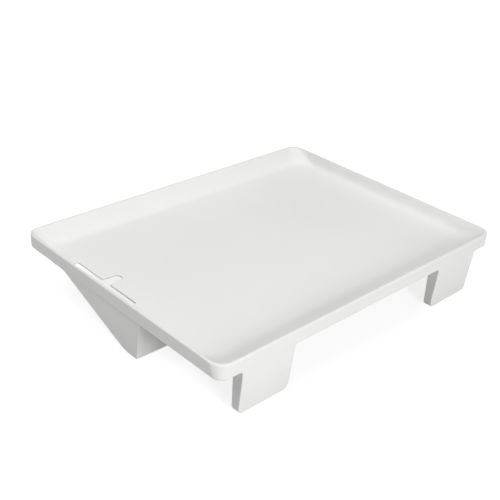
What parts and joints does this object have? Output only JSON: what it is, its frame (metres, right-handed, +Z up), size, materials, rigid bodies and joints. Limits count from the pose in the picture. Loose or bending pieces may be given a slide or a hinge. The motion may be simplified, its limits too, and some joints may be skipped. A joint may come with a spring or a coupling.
{
  "type": "clip-on bedside tray",
  "caption": "Shallow rounded tray moulded in one piece, with legs and triangular brackets that hook over a bed rail and a T-shaped slot for a phone and leads.",
  "frame": {"origin": "under the middle of the tray, in the plane of its feet", "axes": "+X along the bed rail with the slot at the -X end, +Y from the legs over the rail to the brackets, +Z up out of the tray"},
  "size_m": [0.4, 0.305, 0.066],
  "materials": {
    "white_plastic": "fine matte moulded white plastic"
  },
  "bodies": {
    "root": {"tray": "white_plastic"}
  },
  "joints": []
}
